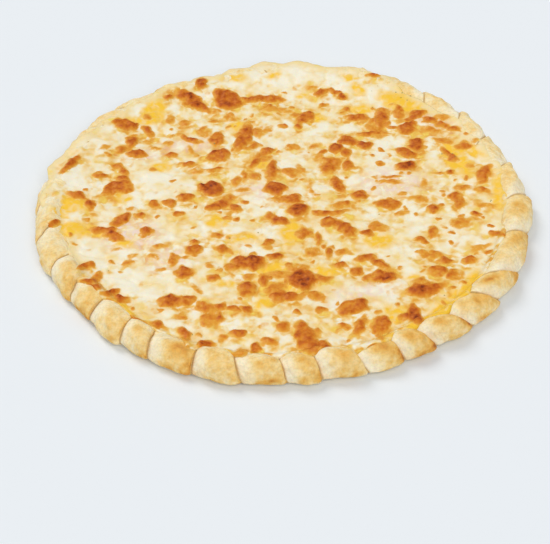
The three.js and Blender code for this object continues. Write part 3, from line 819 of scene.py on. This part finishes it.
# Heights between the polar grid's points
def readPolar(degrees, radii, heights, deg, radius):
    i = (deg % 360) / (degrees[1] - degrees[0])
    k = np.clip((radius - radii[0]) / (radii[1] - radii[0]), 0, len(radii) - 1.001)
    i0 = np.floor(i).astype(int)
    k0 = np.floor(k).astype(int)
    shareI = i - i0
    shareK = k - k0
    i1 = (i0 + 1) % len(degrees)
    i0 = i0 % len(degrees)
    low = heights[i0, k0] * (1 - shareI) + heights[i1, k0] * shareI
    high = heights[i0, k0 + 1] * (1 - shareI) + heights[i1, k0 + 1] * shareI
    return low * (1 - shareK) + high * shareK


# Melted cheese: soft and oily with a low gloss, milk white where it is thick, cream to gold round the
# blisters, and orange-brown with dark freckled tops where a blister stood up to the heat
cheeseLook = {
    "mottleSize": 14,
    "shredSize": 4.2,
    "lemonSize": 6,
    "edgeSize": 3.4,
    "freckleSize": 1.5,
    "mottling": (-0.12, 0.36),
    "lemonShare": 0.75,
    "yellowShare": (0.62, 1.25),  # between the shreds and on them
    "raggedness": 0.14,  # how far a blister's edge is broken up
    "freckling": 0.07,
    "roughness": (0.4, 0.52),  # of the bare cheese and of the blisters
    "milkRamp": [(0.0, "F6EED5"), (0.22, "F5E3B8"), (0.44, "F1CF8D"), (0.7, "EBB85C"), (0.95, "E3A03C")],
    "thin": "F1DAC8",
    "dough": "F4DCA4",
    "lemon": "F3D563",
    "yellow": "F9C63A",
    "blisterRamp": [
        (0.0, "EFC468"), (0.2, "E8AA3F"), (0.4, "DE902A"), (0.58, "D2781C"), (0.75, "C26213"),
        (0.9, "AA4C0C"), (1.0, "84360A"),
    ],
    "surface": {
        "IOR": 1.45, "Specular IOR Level": 0.2, "Subsurface Weight": 0.12,
        "Subsurface Radius": (1.0, 0.62, 0.3), "Subsurface Scale": 3 * mm,
    },
}


def meltedCheese():
    look = cheeseLook
    material, tree, shader = newMaterial("meltedCheese", look["surface"])
    add = partial(addNode, tree)
    where = add("TexCoord").outputs["Object"]
    names = ("brown", "yellow", "warm", "thin", "doughy")
    painted = [add("Attribute", attribute_name=name).outputs["Fac"] for name in names]
    brown, yellow, warm, thin, doughy = painted

    # white to gold by warmth, with a touch of lemon, a lilac tint where it is thin, and the yellow cheese
    mottle = add("TexNoise", where, Scale=perMm(look["mottleSize"]), Detail=2, Roughness=0.6)
    mottled = add("MapRange", mottle, 0.38, 0.68, *look["mottling"])
    shreds = add("TexNoise", where, Scale=perMm(look["shredSize"]), Detail=0.8, Distortion=0.5)
    shredded = add("MapRange", shreds, 0.35, 0.65, 0, 1)
    warmNoise = add("MapRange", shreds, 0.32, 0.68, 0.1, 1.0)
    warmth = add("Math", warm, warmNoise, mottled, operation="MULTIPLY_ADD")
    milky = fillRamp(add("ValToRGB", warmth), look["milkRamp"])
    base = add("Mix", doughy, milky, linear(look["dough"]), data_type="RGBA")
    lemonNoise = add("TexNoise", where, Scale=perMm(look["lemonSize"]), Detail=2)
    lemonShare = add("MapRange", lemonNoise, 0.47, 0.64, 0, look["lemonShare"])
    lemonHere = add("Math", lemonShare, warmth, operation="MULTIPLY", use_clamp=True)
    lemony = add("Mix", lemonHere, base, linear(look["lemon"]), data_type="RGBA")
    thinHere = add("Math", thin, shredded, operation="MULTIPLY")
    thinned = add("Mix", thinHere, lemony, linear(look["thin"]), data_type="RGBA")
    yellowNoise = add("MapRange", shreds, 0.3, 0.7, *look["yellowShare"])
    yellowHere = add("Math", yellow, yellowNoise, operation="MULTIPLY")
    yellowed = add("Mix", yellowHere, thinned, linear(look["yellow"]), data_type="RGBA")

    # blisters: the field from the marks, broken up at their edges and freckled on top
    edges = add("TexNoise", where, Scale=perMm(look["edgeSize"]), Detail=1)
    edgeShift = add("MapRange", edges, 0.3, 0.7, -look["raggedness"], look["raggedness"])
    freckles = add("TexNoise", where, Scale=perMm(look["freckleSize"]), Detail=2)
    freckleShift = add("MapRange", freckles, 0.3, 0.7, -look["freckling"], look["freckling"])
    shifts = add("Math", edgeShift, freckleShift, operation="ADD")
    present = add("MapRange", brown, 0.05, 0.4, 0, 1)
    shifted = add("Math", shifts, present, brown, operation="MULTIPLY_ADD")
    toasted = fillRamp(add("ValToRGB", shifted), look["blisterRamp"])
    cover = add("MapRange", shifted, 0.04, 0.26, 0, 1, **smooth)
    colour = add("Mix", cover, yellowed, toasted, data_type="RGBA")
    tree.links.new(next(o for o in colour.outputs if o.enabled), shader.inputs["Base Color"])

    gloss = add("MapRange", shifted, 0.2, 0.8, *look["roughness"])
    tree.links.new(gloss.outputs[0], shader.inputs["Roughness"])
    rippled = add("Bump", Strength=0.35, Distance=0.35 * mm, Height=shreds)
    freckled = add("Math", freckles, present, operation="MULTIPLY")
    grained = add("Bump", Strength=0.6, Distance=0.35 * mm, Height=freckled, Normal=rippled)
    tree.links.new(grained.outputs[0], shader.inputs["Normal"])
    return material


# Height of the dough under each place of the sheet
def wallUnder(dough, shift, deg, radius):
    degrees, radii, felt = doughHeights(dough, shift)
    close = readPolar(degrees, radii, smoothRound(felt, cheese["closeFit"]), deg, radius)
    bridged = readPolar(degrees, radii, smoothRound(felt, cheese["bridgedFit"]), deg, radius)
    return np.maximum(close, bridged * ease(0.5, 0.85, np.sin(np.radians(deg))))


# Height of the sheet without its blisters and shreds
def sheetHeight(x, y, deg, radius, toEdge, wall, blended):
    size = cheese
    rounded = np.sqrt(1 - (1 - np.clip(toEdge / size["roundEdge"], 0, 1)) ** 2)
    film = 0.2 - 0.55 * blended + (1 - 0.45 * blended) * size["film"] * rounded
    slow = np.sin(x / 17 + 0.6) * np.cos(y / 21 - 0.4) + 0.6 * np.sin((x + y) / 11)
    atBack = ease(-0.6, 0.6, np.sin(np.radians(deg - size["bankTurn"])))
    bankHeight = size["bankFront"] + (size["bankBack"] - size["bankFront"]) * atBack
    bank = bankHeight * ease(size["bankStart"], size["bankEnd"], radius)
    return softMax(size["level"] + size["slowWaves"] * slow + bank, wall + film, size["meeting"])


# Small specks strewn over the whole sheet, between the marks of the lists
def speckField(x, y):
    draw = random.Random(tint["seed"])
    field = np.zeros_like(x)
    for count, smallest, largest, heat in tint["specks"]:
        marks = []
        for _ in range(count):
            far = tint["speckReach"] * math.sqrt(draw.random())
            around = draw.uniform(0, 2 * math.pi)
            wide = draw.uniform(smallest, largest)
            long = wide * draw.uniform(1, 1.5)
            marks.append((far * math.cos(around), far * math.sin(around), long, wide, draw.uniform(0, 180)))
        field = np.maximum(field, heat * markField(x, y, marks, 1.3, 1.2))
    return field


# How brown each place is: the marks and specks, uneven, and browner on a blister's far side
def brownField(x, seenY, markX, markY):
    dark = markField(markX, markY, scorched, 2.2, 2.6)
    medium = markField(markX, markY, browned, 2.2, 1.8)
    light = markField(markX, markY, golden, 2.6, 2.0)
    shares = [field * share for field, share in zip((dark, medium, light), tint["brown"])]
    brown = np.maximum.reduce(shares + [speckField(markX, markY)])
    farSide = markField(markX, markY - 1.5, scorched + browned, 2, 2)
    nearSide = markField(markX, markY + 1.5, scorched + browned, 2, 2)
    uneven = 0.2 * waves(x, seenY, 7, 41) + 0.1 * waves(x, seenY, 3.2, 42)
    return np.clip(brown + tint["farSide"] * (farSide - nearSide) + uneven * ease(0.1, 0.5, brown), 0, 1.2)


# Warm colour about the blisters, along the seams and near the rim, each of them broken up by waves
def warmField(x, y, markX, markY, melt, toEdge):
    seamColour = melt * ease(-0.35, 0.35, waves(x, y, 20, 88))
    warm = markField(markX, markY + 1.8, scorched + browned + golden, tint["haloWidth"], 0.5)
    warm = warm * (0.25 + tint["halo"] * ease(-0.3, 0.3, waves(x, y, 9, 52))) + tint["seam"] * seamColour
    near = markField(markX, markY + 2.2, scorched + browned, tint["closeWidth"], 0.5)
    warm = warm + tint["closeHalo"] * near * (0.3 + 0.7 * ease(-0.3, 0.2, waves(x, y, 13, 54)))
    warm = warm * (1 - tint["milky"] * markField(markX, markY, milkyAreas, 3, 4))
    cloudy = 0.4 + 0.6 * ease(-0.3, 0.3, waves(x, y, 6, 55))
    warm = warm + tint["warmArea"] * markField(markX, markY, warmAreas, 4, 5) * cloudy
    return warm + tint["nearRim"] * ease(4.5, 0, toEdge) * ease(-0.4, 0.3, waves(x, y, 8, 53))


# The sheet's mesh: its top, an edge tucked into the dough and a plain underside
def sheetMesh(x, y, top, wall, shift):
    size = cheese
    cells = size["cells"]
    grid = np.arange((cells + 1) ** 2).reshape(cells + 1, cells + 1)
    border = np.concatenate([grid[0, :-1], grid[:-1, -1], grid[-1, :0:-1], grid[:0:-1, 0]])
    tucked = np.stack([x[border], y[border], wall[border] - size["tuck"]], 1)
    under = np.stack([x[border] * 0.95, y[border] * 0.95, np.full(len(border), size["bottom"])], 1)
    points = np.concatenate([np.stack([x, y, top], 1), tucked, under, [[0, 0, size["bottom"]]]])
    faces = np.stack([grid[:-1, :-1], grid[:-1, 1:], grid[1:, 1:], grid[1:, :-1]], -1).reshape(-1, 4).tolist()
    count = len(border)
    first = len(x)
    for i in range(count):
        after = (i + 1) % count
        faces.append((border[i], first + i, first + after, border[after]))
        faces.append((first + i, first + count + i, first + count + after, first + after))
        faces.append((first + count + i, first + 2 * count, first + count + after))
    mesh = bpy.data.meshes.new("melted_cheese_sheet")
    mesh.from_pydata(((points + np.append(shift[:2] / mm, 0)) * mm).tolist(), [], faces)
    mesh.shade_smooth()
    return mesh


def makeCheese(dough, shift):
    size = cheese
    gridX, gridY = roundGrid(size["cells"])
    deg = np.degrees(np.arctan2(gridY, gridX))
    share = np.hypot(gridX, gridY)
    reach = reachAt(deg)
    radius = share * reach
    toEdge = (1 - share) * reach
    x = radius * np.cos(np.radians(deg))
    y = radius * np.sin(np.radians(deg))
    fromBlended = np.abs((deg - size["blendedSide"] + 180) % 360 - 180)
    blended = ease(size["blendedSpread"], size["blendedSpread"] - 25, fromBlended)
    wall = wallUnder(dough, shift, deg, radius)
    base = sheetHeight(x, y, deg, radius, toEdge, wall, blended)

    # the marks, with their outlines made uneven, and the lumps that ran together
    seenY = y + (base - size["level"]) * size["viewSlope"]
    markX, markY = bend(x, seenY, [(1.8, 12, 21), (1.5, 5.2, 22)])
    meltX, meltY = bend(x, y, [(3, 15, 81), (1.2, 5, 82)])
    smallSeams = 0.7 * seams(meltX, meltY, 8, 3, 86) * ease(-0.1, 0.4, waves(x, y, 25, 87))
    melt = np.maximum(seams(meltX, meltY, 17, 4.5, 85), smallSeams)
    painted = {
        "brown": brownField(x, seenY, markX, markY),
        "yellow": markField(markX, markY, yellowPools, 3.8, 2.0),
        "warm": warmField(x, y, markX, markY, melt, toEdge),
        "thin": markField(markX, markY, thinAreas, 8, 6),
        "doughy": blended * ease(9, 2, toEdge + 2.5 * waves(x, y, 11, 57)),
    }

    # relief: blisters of small bubbles, and shreds that melted together, all of it lower towards the edge
    raised = ease(0.12, 0.85, painted["brown"])
    domes = 0.5 * bubbles(markX, markY, 4.4, 61) + 0.25 * bubbles(markX, markY, 2.4, 62)
    shreds = 0.3 * waves(x, y, 10, 71) + 0.2 * waves(x, y, 4.5, 72) + 0.08 * waves(x, y, 2.2, 73)
    relief = raised * size["blisterHeight"] * (0.6 + domes) + shreds - size["seamDepth"] * melt
    top = base + relief * (0.35 + 0.65 * ease(0, 4, toEdge))

    mesh = sheetMesh(x, y, top, wall, shift)
    plain = np.zeros(len(mesh.vertices) - len(x))  # nothing is painted on the edge and the underside
    for name, field in painted.items():
        storeNumbers(mesh, name, np.concatenate([field, plain]))
    mesh.materials.append(meltedCheese())
    piece = newObject("melted_cheese_sheet", mesh)
    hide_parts("cheese")
    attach(piece, "root")
    print("cheese made:", len(mesh.polygons), "faces")
    return piece


# Herb flecks: tiny and curled, most of them on the yellow cheese at the back right
flecks = {
    "Flake length": 0.7,
    "Flake width": 0.42,
    "Flake thickness": 0.16,
    "Uneven": 0.5,
    "Smallest": 0.6,
    "Largest": 1.3,
    "Seed": 3,
}
strewn = [  # x, y, how many, how far they are strewn
    (80, 104, 7, 9), (66, 118, 2, 9), (108, 46, 3, 9), (60, 94, 2, 8), (128, 6, 3, 9), (100, -90, 3, 9),
    (0, 0, 9, 110),
]


def fleckGuide(sheet):
    tree = BVHTree.FromObject(sheet, bpy.context.evaluated_depsgraph_get())
    draw = random.Random(flecks["Seed"])
    places = []
    for x, y, count, spread in strewn:
        for _ in range(count):
            above = Vector((x + draw.gauss(0, spread / 2), y + draw.gauss(0, spread / 2), 100)) * mm
            hit = tree.ray_cast(above, Vector((0, 0, -1)))[0]
            if hit is not None:
                places.append(hit)
    guide = bpy.data.meshes.new("strewn")
    guide.from_pydata(places, [], [])
    return guide


def herbFleckTree(leaf):
    tree = newTree("herbFlecks", flecks)
    add = partial(addNode, tree)
    size = add("NodeGroupInput").outputs
    ball = add("MeshIcoSphere", Radius=mm, Subdivisions=2)
    where = add("InputPosition")
    noise = add("TexNoise", where, noise_dimensions="3D", Scale=perMm(1.2), Detail=0)
    least = add("Math", 1, size["Uneven"], operation="SUBTRACT")
    bent = add("MapRange", noise, 0.3, 0.7, least, 1)
    lengths = add("CombineXYZ", size["Flake length"], size["Flake width"], size["Flake thickness"])
    shaped = add("VectorMath", where, lengths, operation="MULTIPLY")
    crumpled = add("VectorMath", shaped, operation="SCALE", Scale=bent)
    flake = add("SetPosition", ball, Position=crumpled)
    turn = add("RandomValue", Seed=size["Seed"], data_type="FLOAT_VECTOR")
    turn.inputs["Min"].default_value = (-0.3, -0.3, 0)
    turn.inputs["Max"].default_value = (0.3, 0.3, 2 * math.pi)
    grown = add("RandomValue", size["Smallest"], size["Largest"], Seed=size["Seed"])
    shape = add("InstanceOnPoints", size["Geometry"], Instance=flake, Rotation=turn, Scale=grown)
    shape = add("RealizeInstances", shape)
    shape = add("SetMaterial", shape, Material=leaf)
    add("NodeGroupOutput", shape)
    return tree


# Dried leaf, crumbled: dull olive brown, darker in some patches and lighter in others
def driedHerb():
    material, tree, shader = newMaterial("driedHerb", {"Roughness": 0.8, "Specular IOR Level": 0.2})
    add = partial(addNode, tree)
    where = add("TexCoord").outputs["Object"]
    noise = add("TexNoise", where, Scale=perMm(1.5), Detail=1)
    colour = fillRamp(add("ValToRGB", noise), [(0.3, "8A8248"), (0.7, "B4A664")])
    tree.links.new(colour.outputs["Color"], shader.inputs["Base Color"])
    return material


def makeFlecks(sheet):
    piece = makeWith(herbFleckTree(driedHerb()), "herb_flecks", fleckGuide(sheet), flecks)
    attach(piece, "root")
    print("flecks made:", len(piece.data.polygons), "faces")


# Floor, light and camera
studio = {
    "floorRadius": 12000,
    "floorGap": 0.3,  # under the pizza, so that the two surfaces don't flicker
    "floorColour": "EBEFF2",
    "skyColour": "F3F5F8",
    "skyStrength": 0.475,
    "lights": [  # name, from where, spread in degrees, strength; suns, so that the whole floor is lit alike
        ("key", (-900, 900, 1500), 31, 1.17),
        ("fill", (350, -1150, 1250), 47, 1.22),
    ],
}
camera = {
    "target": (-6.0, -53.8, 0),
    "elevation": 41.636,
    "distance": 917.5,
    "roll": -0.957,
    "fieldOfView": 20,  # across the picture
}


def makeFloor():
    bpy.ops.mesh.primitive_circle_add(vertices=96, radius=studio["floorRadius"] * mm, fill_type="NGON")
    floor = bpy.context.object
    floor.name = "floor"
    floor.data.transform(Matrix.Translation((0, 0, -studio["floorGap"] * mm)))
    paint = {"Base Color": linear(studio["floorColour"]), "Roughness": 0.9, "Specular IOR Level": 0.1}
    floor.data.materials.append(newMaterial("paintedStudioFloor", paint)[0])


def makeLight(name, place, spreadDeg, strength):
    light = bpy.data.lights.new(name, "SUN")
    light.angle = math.radians(spreadDeg)
    light.energy = strength
    lamp = newObject(name, light)
    lamp.location = Vector(place) * mm
    lamp.rotation_euler = (-lamp.location).to_track_quat("-Z", "Y").to_euler()


def makeSky():
    world = bpy.data.worlds.new("softRoom")
    world.use_nodes = True
    background = world.node_tree.nodes["Background"]
    background.inputs["Color"].default_value = linear(studio["skyColour"])
    background.inputs["Strength"].default_value = studio["skyStrength"]
    bpy.context.scene.world = world


def makeCamera():
    data = bpy.data.cameras.new("camera")
    data.sensor_fit = "HORIZONTAL"
    data.angle = math.radians(camera["fieldOfView"])
    data.clip_start = 0.01
    data.clip_end = 50
    rise = math.radians(camera["elevation"])
    roll = math.radians(camera["roll"])
    back = Vector((0, -math.cos(rise), math.sin(rise)))
    level = Vector((1, 0, 0))
    upright = back.cross(level)
    right = level * math.cos(roll) + upright * math.sin(roll)
    up = upright * math.cos(roll) - level * math.sin(roll)
    turned = Matrix((right, up, back)).transposed().to_4x4()
    place = (Vector(camera["target"]) + back * camera["distance"]) * mm
    thing = newObject("camera", data)
    thing.matrix_world = Matrix.Translation(place) @ turned
    bpy.context.scene.camera = thing


crustPiece, crustShift = makeCrust()
sheetPiece = makeCheese(crustPiece, crustShift)
makeFlecks(sheetPiece)
makeFloor()
makeSky()
for lightSettings in studio["lights"]:
    makeLight(*lightSettings)
makeCamera()
bpy.context.scene.view_settings.view_transform = "Standard"
print("floor, lights and camera ready")
